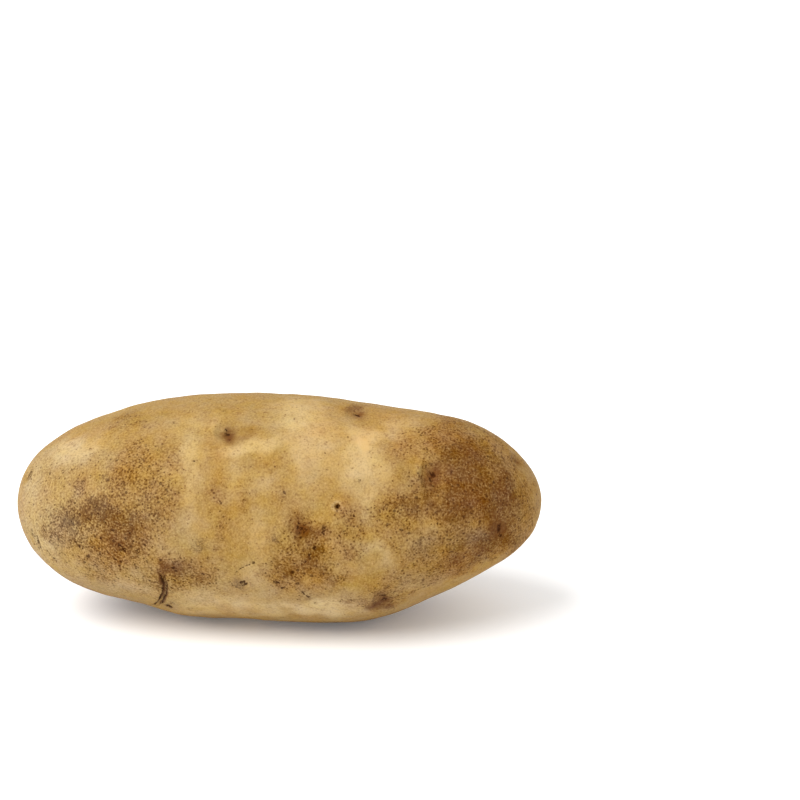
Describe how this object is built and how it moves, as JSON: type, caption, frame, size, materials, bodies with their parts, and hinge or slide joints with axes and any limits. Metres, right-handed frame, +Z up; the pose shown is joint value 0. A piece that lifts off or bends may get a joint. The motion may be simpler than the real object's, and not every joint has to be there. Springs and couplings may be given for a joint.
{
  "type": "potato",
  "caption": "Whole raw potato: a long, slightly lopsided tuber with shallow eyes, a short growth crack and a thin netted skin, lying on its belly.",
  "frame": {"origin": "on the surface that the potato lies on, under the middle of its bounding box", "axes": "+X along the tuber from its stem end to its rose end, +Y across it to the back, +Z up"},
  "size_m": [0.145, 0.0654, 0.0609],
  "materials": {
    "skin": "raw potato skin: matt to faintly waxy, pale yellow tan with brown netted patches, fine dark dots and grey scuffs"
  },
  "bodies": {
    "root": {"potato": "skin"}
  },
  "joints": []
}
